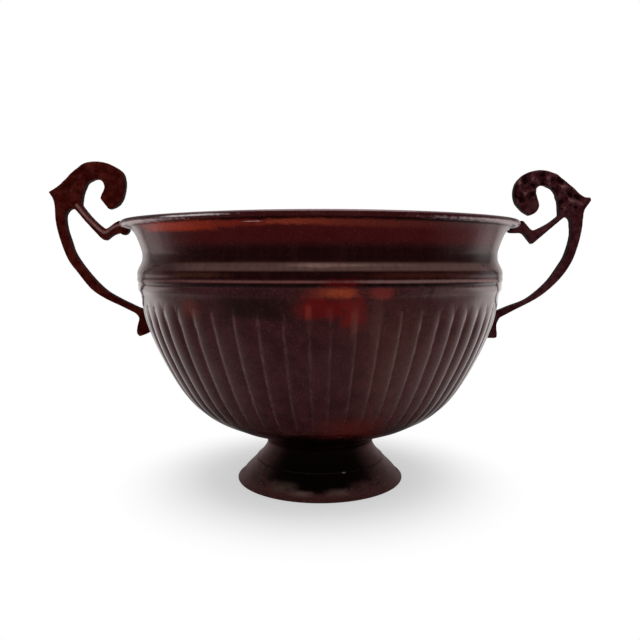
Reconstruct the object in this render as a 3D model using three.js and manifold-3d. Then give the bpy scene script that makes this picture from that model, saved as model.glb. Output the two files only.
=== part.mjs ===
// Footed urn: a reeded sheet-copper bowl with a wired rim, on a spun two-piece foot,
// with two flat cast scroll handles that grip the rim and are screwed to the wall.
// Millimetres, +Z up, the foot stands on z = 0 and the handles lie along X.
import * as THREE from 'three';
import { mergeVertices } from 'three/addons/utils/BufferGeometryUtils.js';
import Module from 'manifold-3d';

const wasm = await Module();
wasm.setup();

// Clearances
const CLEARANCE = 0.3;

// Bowl, with heights from the underside of its floor
const RIM_RADIUS = 115;
const RIM_HEIGHT = 128;
const SHEET = 0.8;
const BEAD_RADIUS = 1.6;
const RIM_LIFT = 1.4;
const LIFT_FROM = 100;
const SEAT_RADIUS = 31;
const BODY_RADIUS = 104.5;
const BODY_HEIGHT = 90;
const BAND_RADIUS = 105.7;
const BAND_WIDTH = 4.2;
const GROOVE_RADIUS = 105.3;
const GROOVE_WIDTH = 1.6;
const RING_RADIUS = 106.1;
const RING_WIDTH = 1.2;
const NIP_RADIUS = 105.8;
const NIP_WIDTH = 2;
const SHOULDER_RADIUS = 106;
const SHOULDER_WIDTH = 4.5;
const NECK_RADIUS = 103;
const NECK_RISE = 10.4;

// Reeds round the body
const REED_COUNT = 56;
const REED_DEPTH = 1.25;
const REED_BOTTOM = 19.5;
const REED_TOP = 85;
const REED_FADE = 4;

// Foot
const FOOT_HEIGHT = 23.7;
const FOOT_WALL = 1.2;
const STEM_TOP_RADIUS = 32;
const STEM_WAIST_RADIUS = 31.8;
const SEAM_RADIUS = 38.5;
const SEAM_HEIGHT = 12.7;
const COLLAR_HEIGHT = 3.6;
const BASE_RADIUS = 50;
const BASE_FLANGE = 6;
const FOOT_SIDES = 44;

// Bolt between bowl and foot
const BOLT_RADIUS = 3;
const BOLT_HEAD_RADIUS = 5.5;
const BOLT_HEAD_HEIGHT = 3.2;
const BOLT_LENGTH = 13;
const WASHER_RADIUS = 8;
const WASHER_THICKNESS = 1.2;
const NUT_ACROSS_CORNERS = 11.5;
const NUT_HEIGHT = 4.8;

// Handles and their screws
const HANDLE_THICKNESS = 6;
const HANDLE_BEVEL = 0.8;
const HANDLE_GRID = 1;
const SCREW_HEIGHT = 76.3;
const SCREW_RADIUS = 1.5;
const SCREW_GRIP = 4.2;
const SCREW_HEAD_RADIUS = 3;
const SCREW_HEAD_HEIGHT = 1.8;
const SCREW_WASHER_RADIUS = 4.5;
const SCREW_WASHER_THICKNESS = 0.8;

const BEAD = { r: RIM_RADIUS - BEAD_RADIUS, z: RIM_HEIGHT - BEAD_RADIUS };
const CURL_RADIUS = BEAD_RADIUS - SHEET;
const CURL = { start: 200, lip: -130, end: 165 };
const FLOOR_HOLE = BOLT_RADIUS + CLEARANCE;

const COPPER = { color: 0x5b332b, metalness: 0.9, roughness: 0.35 };
const CASTING = { color: 0x4c211c, metalness: 0.6, roughness: 0.55 };
const BRONZE = { color: 0x3a2420, metalness: 0.8, roughness: 0.45 };
const STEEL = { color: 0x8a8078, metalness: 0.9, roughness: 0.4 };

// Smooth curve through a few chosen points of a profile, as [radius, height] pairs
function smooth(points, steps) {
  const curve = new THREE.SplineCurve(points.map(([r, z]) => new THREE.Vector2(r, z)));
  return curve.getPoints(steps).map((p) => [p.x, p.y]);
}

// Height at which a profile's share of the body is given, and the radius there
const BODY_SHARES = [
  [0.02, 0], [0.04, 0.022], [0.136, 0.067], [0.351, 0.133], [0.535, 0.222],
  [0.691, 0.356], [0.846, 0.578], [0.955, 0.8], [1, 1],
];
const bodyCurve = smooth(BODY_SHARES.map(([r, z]) => [
  SEAT_RADIUS + (BODY_RADIUS - SEAT_RADIUS) * r, BODY_HEIGHT * z]), 200);

// Radius of the bowl's outside at a height of the body
function bodyRadius(height) {
  const above = bodyCurve.findIndex(([, z]) => z >= height);
  if (above <= 0) return bodyCurve.at(above)[0];
  const [r0, z0] = bodyCurve[above - 1];
  const [r1, z1] = bodyCurve[above];
  return r0 + ((r1 - r0) * (height - z0)) / (z1 - z0);
}

// How deep the reeds are at a height: nothing at their ends, full between
function reedDepth(height) {
  const rise = Math.min(height - REED_BOTTOM, REED_TOP - height) / REED_FADE;
  return REED_DEPTH * THREE.MathUtils.smoothstep(rise, 0, 1);
}

// Outside of the bowl from its floor up to the shoulder, as rings
function bodyRings() {
  const plain = [0, 2.2, 5, 8.5, 12.5, REED_BOTTOM];
  const shares = [0.055, 0.2, 0.42, 0.66, 0.88, 0.95];
  const rings = plain.map((z) => ({ r: bodyRadius(z), z }));
  for (const share of shares) {
    const z = THREE.MathUtils.lerp(REED_BOTTOM, REED_TOP, share);
    rings.push({ r: bodyRadius(z), z, reed: reedDepth(z) });
  }
  rings.push({ r: bodyRadius(REED_TOP), z: REED_TOP });
  rings.push({ r: BODY_RADIUS, z: BODY_HEIGHT });
  return rings;
}

// Above the body come a band, a groove, a thin ring, the shoulder, the neck and the flare
function upperRings() {
  const bandTop = BODY_HEIGHT + BAND_WIDTH;
  const ringBottom = bandTop + GROOVE_WIDTH;
  const ringTop = ringBottom + RING_WIDTH;
  const shoulder = ringTop + NIP_WIDTH;
  const neck = shoulder + NECK_RISE;
  const lip = [BEAD.r - BEAD_RADIUS - 1.5, BEAD.z - 1.6];
  const flare = (out, up) => [
    THREE.MathUtils.lerp(NECK_RADIUS, lip[0], out), THREE.MathUtils.lerp(neck, lip[1], up)];
  const above = smooth([
    [SHOULDER_RADIUS, shoulder],
    [SHOULDER_RADIUS - 0.2, shoulder + SHOULDER_WIDTH - 1.9],
    [SHOULDER_RADIUS - 1.1, shoulder + SHOULDER_WIDTH],
    [NECK_RADIUS + 0.9, neck - 4],
    [NECK_RADIUS, neck],
    flare(0.26, 0.46),
    flare(0.58, 0.78),
    lip,
  ], 12);
  return [
    [BAND_RADIUS, BODY_HEIGHT + 0.6],
    [BAND_RADIUS, bandTop - 0.4],
    [GROOVE_RADIUS, bandTop + GROOVE_WIDTH / 2],
    [RING_RADIUS, ringBottom + 0.2],
    [RING_RADIUS, ringTop],
    [NIP_RADIUS, ringTop + NIP_WIDTH / 2],
    ...above,
  ].map(([r, z]) => ({ r, z }));
}

// Arc round the wire, from one angle to another in degrees
function curlArc(radius, from, to, steps) {
  return Array.from({ length: steps + 1 }, (_, i) => {
    const angle = THREE.MathUtils.degToRad(THREE.MathUtils.lerp(from, to, i / steps));
    return { r: BEAD.r + radius * Math.cos(angle), z: BEAD.z + radius * Math.sin(angle) };
  });
}

// The same rings moved in by the sheet, square to the profile, and listed downwards
function innerRings(rings) {
  return rings.map((ring, i) => {
    const before = rings[Math.max(i - 1, 0)];
    const after = rings[Math.min(i + 1, rings.length - 1)];
    const along = new THREE.Vector2(after.r - before.r, after.z - before.z).normalize();
    return { r: ring.r - along.y * SHEET, z: ring.z + along.x * SHEET, reed: ring.reed };
  }).reverse();
}

// How far the rim is drawn up beside the handles, at an angle from +X and a height
function lift(angle, height) {
  const share = THREE.MathUtils.smoothstep(height, LIFT_FROM, RIM_HEIGHT - 2 * BEAD_RADIUS);
  return RIM_LIFT * share * Math.cos(angle) ** 4;
}

// The same for a whole geometry about Z
function lifted(geometry) {
  const place = geometry.attributes.position;
  for (let i = 0; i < place.count; i += 1) {
    const angle = Math.atan2(place.getY(i), place.getX(i));
    place.setZ(i, place.getZ(i) + lift(angle, place.getZ(i)));
  }
  return geometry;
}

// Points of one ring: three to a reed where it has depth, else one at each groove
function ringPoints(ring) {
  const phases = ring.reed ? [0, 0.3, 0.7] : [0];
  const points = [];
  for (let reed = 0; reed < REED_COUNT; reed += 1) {
    for (const phase of phases) {
      const angle = ((reed + phase - 0.5) / REED_COUNT) * 2 * Math.PI;
      const r = ring.r - (phase === 0 && ring.reed ? ring.reed : 0);
      points.push([r * Math.cos(angle), r * Math.sin(angle), ring.z + lift(angle, ring.z)]);
    }
  }
  return points;
}

// Closed skin over a loop of rings, each joined to the next by one strip
function skin(rings) {
  const loops = rings.map(ringPoints);
  const starts = [];
  let total = 0;
  for (const loop of loops) {
    starts.push(total);
    total += loop.length;
  }
  const index = [];
  loops.forEach((low, i) => {
    const next = (i + 1) % loops.length;
    const high = loops[next];
    let a = 0;
    let b = 0;
    while (a < low.length || b < high.length) {
      const lowVertex = starts[i] + (a % low.length);
      const highVertex = starts[next] + (b % high.length);
      if ((a + 1) / low.length <= (b + 1) / high.length && a < low.length) {
        a += 1;
        index.push(lowVertex, starts[i] + (a % low.length), highVertex);
      } else {
        b += 1;
        index.push(lowVertex, starts[next] + (b % high.length), highVertex);
      }
    }
  });
  const geometry = new THREE.BufferGeometry();
  geometry.setAttribute('position', new THREE.Float32BufferAttribute(loops.flat(2), 3));
  geometry.setIndex(index);
  return geometry;
}

// Solid for joins and cuts, from a closed geometry
function solid(geometry) {
  const bare = geometry.clone();
  bare.deleteAttribute('normal');
  bare.deleteAttribute('uv');
  const merged = mergeVertices(bare, 1e-4);
  return new wasm.Manifold(new wasm.Mesh({
    numProp: 3,
    vertProperties: Float32Array.from(merged.attributes.position.array),
    triVerts: Uint32Array.from(merged.index.array),
  }));
}

// Geometry of a solid
function geometryOf(body) {
  const mesh = body.getMesh();
  const geometry = new THREE.BufferGeometry();
  geometry.setAttribute('position', new THREE.Float32BufferAttribute(mesh.vertProperties, 3));
  geometry.setIndex(new THREE.Uint32BufferAttribute(mesh.triVerts, 1));
  return geometry;
}

// Turned piece about Z from a closed profile of [radius, height] pairs
function turned(profile, segments) {
  const points = [...profile, profile[0]].map(([r, z]) => new THREE.Vector2(r, z));
  return new THREE.LatheGeometry(points, segments).rotateX(Math.PI / 2).rotateZ(Math.PI / segments);
}

// Rod along X for holes, from one place to another
function rodAlongX(radius, from, to) {
  return new THREE.CylinderGeometry(radius, radius, to - from, 16)
    .rotateZ(Math.PI / 2).translate((from + to) / 2, 0, 0);
}

// Where a handle's screw crosses the wall: the place, and the way the wall faces there
function screwSeat() {
  const step = 2;
  const rise = bodyRadius(SCREW_HEIGHT + step) - bodyRadius(SCREW_HEIGHT - step);
  return {
    r: bodyRadius(SCREW_HEIGHT), z: SCREW_HEIGHT, tilt: Math.atan2(rise, 2 * step),
  };
}

// Puts what is made along +X from the wall's face at the seat of one side's handle
function atSeat(geometry, side) {
  const seat = screwSeat();
  geometry.rotateY(seat.tilt).translate(seat.r, 0, seat.z);
  return side === 'left' ? geometry.rotateZ(Math.PI) : geometry;
}

const group = new THREE.Group();
const bowlGroup = new THREE.Group();
bowlGroup.position.z = FOOT_HEIGHT + CLEARANCE;
group.add(bowlGroup);

function add(parent, name, geometry, look) {
  const mesh = new THREE.Mesh(geometry, new THREE.MeshStandardMaterial(look));
  mesh.name = name;
  parent.add(mesh);
}

// Bowl
function bowl() {
  const outside = [...bodyRings(), ...upperRings()];
  const inside = innerRings(outside).filter((ring, i) => ring.reed || i % 2 === 0);
  const floor = SEAT_RADIUS - 2;
  const body = solid(skin([
    { r: FLOOR_HOLE, z: 0 },
    ...outside,
    ...curlArc(CURL_RADIUS, CURL.start, CURL.lip, 6),
    ...curlArc(BEAD_RADIUS, CURL.lip, CURL.end, 7),
    ...inside,
    { r: floor, z: SHEET },
    { r: FLOOR_HOLE, z: SHEET },
  ]));
  const reach = 2 * SCREW_WASHER_RADIUS;
  return ['left', 'right'].reduce((left, side) => left.subtract(
    solid(atSeat(rodAlongX(SCREW_RADIUS + CLEARANCE, -reach, reach), side))), body);
}
add(bowlGroup, 'bowl', geometryOf(bowl()), COPPER);

// Wire inside the rolled rim
const wire = new THREE.TorusGeometry(BEAD.r, CURL_RADIUS - CLEARANCE, 6, REED_COUNT)
  .rotateZ(Math.PI / REED_COUNT).translate(0, 0, BEAD.z);
add(bowlGroup, 'rim_wire', lifted(wire), STEEL);

// Outline of a handle as runs between its corners, drawn on a grid. A place is counted from
// the rim's outer top corner where it starts with rim, and from the screw's seat on the wall
// with wall. With arm it is a share of the way out and up from that seat to the arm's top.
const rim = (x, z) => [RIM_RADIUS + x * HANDLE_GRID, RIM_HEIGHT + z * HANDLE_GRID];
const wall = (x, z) => [screwSeat().r + x * HANDLE_GRID, SCREW_HEIGHT + z * HANDLE_GRID];
const arm = (out, up) => [
  THREE.MathUtils.lerp(wall(0, 0)[0], rim(43, 0)[0], out),
  THREE.MathUtils.lerp(wall(0, 0)[1], rim(43, 0)[1], up),
];

const OUTLINES = {
  left: {
    scrollTop: [rim(41, 23.4), rim(35.3, 28.4), rim(33, 31), rim(25.5, 36.6), rim(20, 38),
      rim(14, 37.7), rim(8.6, 36), rim(2.6, 31.8), rim(0.9, 25), rim(2.2, 18), rim(4.4, 13.6),
      rim(7.4, 11.2), rim(10.8, 10)],
    scrollEnd: [rim(15.8, 16.4)],
    scrollInside: [rim(14.7, 19.2), rim(13.4, 21.5), rim(13.3, 24.4), rim(14.8, 26.8),
      rim(17.9, 27.8), rim(21.2, 26.8), rim(24, 24.6), rim(26.2, 19.5), rim(27.5, 12.6)],
    strutTop: [rim(21.5, 5), rim(14.6, -1), rim(11.5, -0.9), rim(8, 1.7), rim(5, 3.4)],
    jaw: [rim(1.5, 2.6), rim(-2, 0.5), rim(-0.6, -2.5), rim(0.8, -4.6), rim(3, -5.3)],
    strutUnder: [rim(4.8, -4), rim(9, -5.3), rim(12.4, -7.8)],
    strutRise: [rim(14.2, -8.2), rim(17.6, -5.2), rim(25.4, 3.4), rim(30, 9), rim(32, 10.5)],
    armInside: [rim(34.7, 9.8), rim(37.1, 6), rim(36.6, -1), arm(0.844, 0.826),
      arm(0.791, 0.667), arm(0.64, 0.439), arm(0.46, 0.248), arm(0.198, 0.095), wall(4.5, 2.1)],
    seatTop: [wall(-8, 1.5)],
    tail: [wall(-8, -10.5), wall(-1, -10.2), wall(2.2, -12.6), wall(6.6, -14.3)],
    tailOutside: [wall(8.2, -12.4), wall(8, -8.5), wall(6.8, -3.2), wall(9, -0.2)],
    armOutside: [arm(0.317, 0.079), arm(0.493, 0.172), arm(0.633, 0.279), arm(0.773, 0.468),
      arm(0.874, 0.623), arm(0.95, 0.845), rim(42.5, 2), rim(42.9, 10), rim(43.2, 14)],
    spurUnder: [rim(44, 16.6)],
  },
  right: {
    spurTop: [rim(45.7, 17)],
    scrollTop: [rim(42.4, 17.3), rim(38.6, 19.8), rim(31.4, 26.2), rim(23.4, 31.5),
      rim(15.5, 33), rim(7.2, 31), rim(1.8, 25.4), rim(0.4, 19.4), rim(1.6, 14.4),
      rim(5.6, 9.2), rim(10.2, 6.3)],
    scrollInside: [rim(13.2, 7.8), rim(15, 10.2), rim(15.5, 12.8), rim(14.4, 16.6),
      rim(13.4, 20.6), rim(14.6, 23.2), rim(18.4, 24.2), rim(23.6, 21.6), rim(26.6, 16),
      rim(27.8, 6.4)],
    strutTop: [rim(22, 2), rim(14.4, -1.9), rim(11.2, -2), rim(8.8, 0.4), rim(6, 3.5)],
    jaw: [rim(1.5, 2.4), rim(-2, 0.5), rim(-2.2, -2.4), rim(-1.2, -3.8), rim(2.4, -4)],
    strutUnder: [rim(6.4, -4.2), rim(9.2, -7.2), rim(12, -10.6)],
    strutRise: [rim(16.4, -6.8), rim(26.4, 1.8), rim(30, 4.8), rim(32, 5.8)],
    armInside: [rim(34.2, 4.4), rim(35, 1), arm(0.857, 0.868), arm(0.806, 0.671),
      arm(0.743, 0.549), arm(0.616, 0.356), arm(0.412, 0.168), arm(0.207, 0.077), wall(3, 0.4)],
    seatTop: [wall(-8, -1)],
    tail: [wall(-8, -15), wall(-2, -15.3), wall(3.4, -15.4)],
    tailOutside: [wall(4.5, -14.4), wall(4.4, -11), wall(4.2, -7), wall(6, -3)],
    armOutside: [arm(0.268, 0.033), arm(0.534, 0.188), arm(0.737, 0.381), arm(0.863, 0.574),
      arm(0.93, 0.768), rim(41.3, -2), rim(42, 6.6), rim(42.7, 10)],
  },
};
const SPUR_TIPS = { left: rim(46.4, 20.2), right: rim(46.4, 15.4) };

// Flat casting with bevelled edges, standing in the X-Z plane
function casting(side) {
  const facing = side === 'left' ? -1 : 1;
  const place = ([x, z]) => new THREE.Vector2(facing * x, z);
  const shape = new THREE.Shape();
  shape.moveTo(...place(SPUR_TIPS[side]));
  for (const run of Object.values(OUTLINES[side])) {
    if (run.length === 1) shape.lineTo(...place(run[0]));
    else shape.splineThru(run.map(place));
  }
  const flat = HANDLE_THICKNESS - 2 * HANDLE_BEVEL;
  return new THREE.ExtrudeGeometry(shape, {
    depth: flat, bevelThickness: HANDLE_BEVEL, bevelSize: HANDLE_BEVEL,
    bevelOffset: -HANDLE_BEVEL, bevelSegments: 1, curveSegments: 2,
  }).rotateX(Math.PI / 2).translate(0, flat / 2, 0);
}

// Room that the bowl and its rolled rim take, with their clearance
function bowlRoom() {
  const outside = [...bodyRings(), ...upperRings()].map(({ r, z }) => [r + CLEARANCE, z]);
  const profile = [[0, 0], ...outside, [0, outside.at(-1)[1]]];
  const bead = new THREE.TorusGeometry(BEAD.r, BEAD_RADIUS + CLEARANCE, 16, 4 * REED_COUNT)
    .translate(0, 0, BEAD.z);
  return solid(lifted(turned(profile, 4 * REED_COUNT))).add(solid(lifted(bead)));
}

// Screw, washer and handle of each side
function turnedAlongX(profile, segments) {
  return turned(profile, segments).rotateY(Math.PI / 2);
}
const washerSag = SCREW_WASHER_RADIUS ** 2 / (2 * screwSeat().r);
const washerOuter = -(SHEET + REED_DEPTH + washerSag + CLEARANCE);
const washerInner = washerOuter - SCREW_WASHER_THICKNESS;
const headOuter = washerInner - CLEARANCE;
const headInner = headOuter - SCREW_HEAD_HEIGHT;
const room = bowlRoom();
for (const side of ['left', 'right']) {
  const hole = SCREW_RADIUS + CLEARANCE;
  const drill = atSeat(rodAlongX(hole, -SCREW_GRIP, SCREW_GRIP + CLEARANCE), side);
  const body = solid(casting(side)).subtract(room).subtract(solid(drill));
  add(bowlGroup, `handle_${side}`, geometryOf(body), CASTING);
  const screw = turnedAlongX([
    [0, headInner], [SCREW_HEAD_RADIUS * 0.7, headInner], [SCREW_HEAD_RADIUS, headInner + 0.8],
    [SCREW_HEAD_RADIUS, headOuter], [SCREW_RADIUS, headOuter], [SCREW_RADIUS, SCREW_GRIP],
    [0, SCREW_GRIP],
  ], 16);
  add(bowlGroup, `handle_screw_${side}`, atSeat(screw, side), STEEL);
  const washer = turnedAlongX([
    [hole, washerInner], [SCREW_WASHER_RADIUS, washerInner], [SCREW_WASHER_RADIUS, washerOuter],
    [hole, washerOuter],
  ], 20);
  add(bowlGroup, `screw_washer_${side}`, atSeat(washer, side), STEEL);
}

// Foot: the stem's outside between the seam and the flat top
const stemCurve = smooth([
  [SEAM_RADIUS, SEAM_HEIGHT + CLEARANCE],
  [SEAM_RADIUS - 3.2, SEAM_HEIGHT + 3.3],
  [STEM_WAIST_RADIUS + 1, FOOT_HEIGHT - 4],
  [STEM_WAIST_RADIUS, FOOT_HEIGHT - 1.2],
  [STEM_TOP_RADIUS, FOOT_HEIGHT],
], 6);
const stemInside = stemCurve.slice(0, -2).map(([r, z]) => [r - FOOT_WALL, z]).reverse();
const stem = turned([
  ...stemCurve, [FLOOR_HOLE, FOOT_HEIGHT], [FLOOR_HOLE, FOOT_HEIGHT - FOOT_WALL],
  [STEM_WAIST_RADIUS - 2 * FOOT_WALL, FOOT_HEIGHT - FOOT_WALL], ...stemInside,
], FOOT_SIDES);
add(group, 'foot_stem', stem, BRONZE);

// Skirt with its flat turned-in edge below and a collar inside the stem above
const skirtCurve = smooth([
  [BASE_RADIUS, 0.7], [BASE_RADIUS - 2.3, 2.6], [BASE_RADIUS - 5, 6],
  [BASE_RADIUS - 9.1, 10], [SEAM_RADIUS, SEAM_HEIGHT],
], 6);
const collar = stemCurve.filter(([, z]) => z < SEAM_HEIGHT + COLLAR_HEIGHT)
  .map(([r, z]) => [r - FOOT_WALL - CLEARANCE, z]);
const collarInside = collar.map(([r, z]) => [r - FOOT_WALL, z]).reverse();
const skirtInside = skirtCurve.slice(1, -1).map(([r, z]) => [r - 1.3 * FOOT_WALL, z]).reverse();
const skirt = turned([
  [BASE_RADIUS - 0.6, 0], ...skirtCurve, [collar[0][0], SEAM_HEIGHT], ...collar,
  ...collarInside, ...skirtInside, [BASE_RADIUS - 3, FOOT_WALL],
  [BASE_RADIUS - BASE_FLANGE, FOOT_WALL], [BASE_RADIUS - BASE_FLANGE, 0],
], FOOT_SIDES);
add(group, 'foot_skirt', skirt, BRONZE);

// Bolt through the bowl's floor and the stem's top, with a washer on each side
const upperWasher = SHEET + CLEARANCE;
const boltHead = upperWasher + WASHER_THICKNESS + CLEARANCE;
const headTop = boltHead + BOLT_HEAD_HEIGHT;
const bolt = turned([
  [0, headTop], [BOLT_HEAD_RADIUS * 0.6, headTop], [BOLT_HEAD_RADIUS, headTop - 1.4],
  [BOLT_HEAD_RADIUS, boltHead], [BOLT_RADIUS, boltHead], [BOLT_RADIUS, boltHead - BOLT_LENGTH],
  [0, boltHead - BOLT_LENGTH],
].reverse(), 24);
add(bowlGroup, 'foot_bolt', bolt, STEEL);

function flatRing(bottom, thickness, outer, segments) {
  return turned([
    [FLOOR_HOLE, bottom], [outer, bottom], [outer, bottom + thickness],
    [FLOOR_HOLE, bottom + thickness],
  ], segments);
}
add(bowlGroup, 'bowl_washer', flatRing(upperWasher, WASHER_THICKNESS, WASHER_RADIUS, 24), STEEL);
const lowerWasher = FOOT_HEIGHT - FOOT_WALL - CLEARANCE - WASHER_THICKNESS;
add(group, 'foot_washer', flatRing(lowerWasher, WASHER_THICKNESS, WASHER_RADIUS, 24), STEEL);

// Six-sided nut, with its round hole cut
const nutBottom = lowerWasher - CLEARANCE - NUT_HEIGHT;
const nutBlank = new THREE.CylinderGeometry(
  NUT_ACROSS_CORNERS / 2, NUT_ACROSS_CORNERS / 2, NUT_HEIGHT, 6).rotateX(Math.PI / 2)
  .translate(0, 0, nutBottom + NUT_HEIGHT / 2);
const nutHole = new THREE.CylinderGeometry(FLOOR_HOLE, FLOOR_HOLE, 2 * NUT_HEIGHT, 24)
  .rotateX(Math.PI / 2).translate(0, 0, nutBottom + NUT_HEIGHT / 2);
add(group, 'foot_nut', geometryOf(solid(nutBlank).subtract(solid(nutHole))), STEEL);

export default group;
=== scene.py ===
"""Looks of a footed urn: a dark, worn copper bowl with reeds and a rolled rim, two flat cast
scroll handles and a spun foot. Sizes in the shape code are millimetres, in the urn's own frame."""
import math

import bmesh
import bpy
import numpy as np
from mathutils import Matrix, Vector


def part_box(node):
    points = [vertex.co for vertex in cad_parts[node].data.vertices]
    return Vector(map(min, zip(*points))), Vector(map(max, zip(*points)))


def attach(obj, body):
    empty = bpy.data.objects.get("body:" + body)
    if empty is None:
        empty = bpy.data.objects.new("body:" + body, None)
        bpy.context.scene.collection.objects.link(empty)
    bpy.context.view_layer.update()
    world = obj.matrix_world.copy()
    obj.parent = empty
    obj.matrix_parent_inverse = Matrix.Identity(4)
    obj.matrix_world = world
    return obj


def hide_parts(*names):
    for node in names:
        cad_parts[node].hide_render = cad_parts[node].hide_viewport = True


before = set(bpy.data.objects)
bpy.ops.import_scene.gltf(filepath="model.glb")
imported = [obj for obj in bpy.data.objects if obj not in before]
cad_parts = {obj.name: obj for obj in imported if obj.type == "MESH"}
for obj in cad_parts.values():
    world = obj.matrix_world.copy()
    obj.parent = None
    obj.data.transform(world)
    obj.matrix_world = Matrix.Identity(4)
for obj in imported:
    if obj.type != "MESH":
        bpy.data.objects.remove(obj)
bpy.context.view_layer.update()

MM = 0.001
RANDOM = np.random.default_rng(11)

# Sizes of the bowl, with heights from the underside of its floor
BOWL_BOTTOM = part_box("bowl")[0].z / MM
SHEET = 0.8
RIM_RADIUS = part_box("bowl")[1].y / MM
RIM_LIFT = 1.4
RIM_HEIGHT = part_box("bowl")[1].z / MM - BOWL_BOTTOM - RIM_LIFT
BEAD_RADIUS = 1.6
BEAD = (RIM_RADIUS - BEAD_RADIUS, RIM_HEIGHT - BEAD_RADIUS)
LIFT_FROM = 100
LIFT_POWER = 4
SEAT_RADIUS = 31
BODY_RADIUS = 104.5
BODY_HEIGHT = 90
HOLE_RADIUS = 3.3
FLARE_FROM = 107
CLEARANCE = 0.3

# Rolled edge: degrees at which its inside begins, turns back at the sheet's end and meets the
# flare, with the steps of both arcs, and the wire in it
CURL = (200, -150, 170)
CURL_STEPS = (14, 22)
WIRE_RADIUS = 0.5
WIRE_SIDES = 12

# Steps between the rings of points on the bowl's floor, body, mouldings and flare
FLOOR_STEP = 9
BODY_STEP = 1.25
MOULDING_STEP = 0.42
FLARE_STEP = 1.1

# Three glosses of the bowl's skin: below a height, above it and in the crease under the rim
LOWER, UPPER, MATT = 0, 1, 2
UPPER_FROM = 94.9
CREASE = (123.6, 126)

# Reeds: how many and how deep, the heights between which they grow out of the plain wall, and
# their arched tops, under which they are shallower for a while
REED_COUNT = 56
REED_DEPTH = 1.25
REED_FOOT = (17.5, 25.5)
REED_TOP = 85
REED_FADE = 11
REED_LEAST = 0.4
ARCH_HEIGHT = 3.4
ARCH_SOFTNESS = (-0.3, 0.5)

# Slight step down round the arches, and where it ends above them
ARCH_STEP = 0.12
STEP_FADE = (2.2, 4.5)

# Grooves: how much of their section is round, degrees from the front to the first, the waves and
# random parts that make them uneven, as drawn by hand
GROOVE_ROUNDNESS = 0.6
GROOVE_START = 1.35
GROOVE_WOBBLE = ((1, 0.33, -0.1), (2, 0.82, -0.47), (3, 0.68, -0.54), (4, 0.12, 0.71))
GROOVE_JITTER = 0.12
TOP_JITTER = 0.6
DEPTH_RANGE = (0.85, 1.12)

# Rubbed edge of each reed, also painted lighter as a highlight, from its middle, and the columns of
# points, as shares of its width
EDGE_PHASE = 0.43
EDGE_WIDTH = 0.085
COLUMN_PHASES = np.array([0, 0.03, 0.07, 0.12, 0.19, 0.28, 0.39, 0.5,
                          0.61, 0.72, 0.81, 0.88, 0.93, 0.97])

# Dents: how many waves they are made of, and the waves' number in a turn, radians per millimetre of
# height and depth, with the heights between which they begin
DENT_COUNT = 16
DENT_TURNS = (2, 30)
DENT_RISE = (-0.12, 0.12)
DENT_SIZE = (0.01, 0.045)
DENT_FROM = (2, 14)

# Foot, with heights from the surface that it stands on. The skirt's collar goes up inside the stem,
# and its flange lies between two distances in from its edge.
FOOT_HEIGHT = 23.7
FOOT_WALL = 1.2
TURNED_SIDES = 180
TURNED_STEP = 0.6
SEAM = (38.5, 12.7)
BASE_RADIUS = 50
STEM_POINTS = [(SEAM[0], SEAM[1] + CLEARANCE), (35.3, 16), (32.8, 19.7), (31.8, 22.5),
               (32, FOOT_HEIGHT)]
SKIRT_POINTS = [(BASE_RADIUS, 0.7), (47.7, 2.6), (45, 6), (40.9, 10), SEAM]
COLLAR = [(35.9, 13.2), (34.0, 15.9)]
FLANGE = (3, 6)

# Handles: the screw's height on the wall, how far the arm reaches past the rim, the distances from
# the middle plane between which the flanks end and the faces begin, and the steps of their lines
HANDLE_THICKNESS = 6
SCREW_HEIGHT = 76.3
ARM_REACH = 43
FLANK = (1.7, 2.6)
FACE = (2.0, 2.8)
RUN_STEPS = 8
LINE_STEP = 0.5

# Room that is cut out of the castings for the bowl: height it begins at, its depth behind the rim,
# how far under the bead its wall ends and the bead's arc in degrees
ROOM_FROM = 40
ROOM_DEPTH = 25
ROOM_UNDER_BEAD = 2
ROOM_ARC = (-150, 160)

# Skin of the castings: size of its cells, with the factor and repeats of the smoothing
SKIN_STEP = 0.42
SKIN_FACTOR = 0.6
SKIN_REPEATS = 8

# Relief of the castings: leaves with a rib, lumps and pits on the scroll and a ridge on the strut
LEAF_LENGTH = 9.5
LEAF_SLANT = 0.9
LEAF_START = (1, 6)
LEAF_END = (0, 5)
LEAF_SIDE = (5.5, 8.5)
LEAF_RISE = {"left": 0.45, "right": 1.0}
RIB_WIDTH = 0.9
RIB_RISE = 0.4
LUMP_RISE = 0.35
LUMP_WAVES = ((0.75, 0.5, 0), (-0.4, 0.6, 1))
PIT_DEPTH = 2.4
PIT_LEVEL = 0.72
PIT_WAVES = ((1.15, 0, 0), (0.6, 1.3, 0))
RIDGE_WIDTH = 1.2
RIDGE_RISE = {"left": 1.15, "right": 0.35}


def spline(points, steps):
    """Uniform Catmull-Rom curve through a few chosen points"""
    p = np.array(points, float)
    p = np.vstack([p[:1], p, p[-1:]])
    t = np.linspace(0, len(points) - 1, steps + 1)
    i = np.minimum(t.astype(int), len(points) - 2)
    w = (t - i)[:, None]
    p0, p1, p2, p3 = (p[i + k] for k in range(4))
    v0, v1 = (p2 - p0) / 2, (p3 - p1) / 2
    cubic = (2 * p1 - 2 * p2 + v0 + v1) * w ** 3
    return cubic + (3 * p2 - 3 * p1 - 2 * v0 - v1) * w ** 2 + v0 * w + p1


def spaced(line, step):
    """The same line with its points at even steps"""
    lengths = np.concatenate([[0], np.cumsum(np.linalg.norm(np.diff(line, axis=0), axis=1))])
    places = np.linspace(0, lengths[-1], max(2, int(round(lengths[-1] / step)) + 1))
    return np.stack([np.interp(places, lengths, line[:, k]) for k in range(line.shape[1])], 1)


def smoothstep(x, low, high):
    """0 below low, 1 above high and smooth between"""
    t = np.clip((x - low) / (high - low), 0, 1)
    return t * t * (3 - 2 * t)


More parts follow.
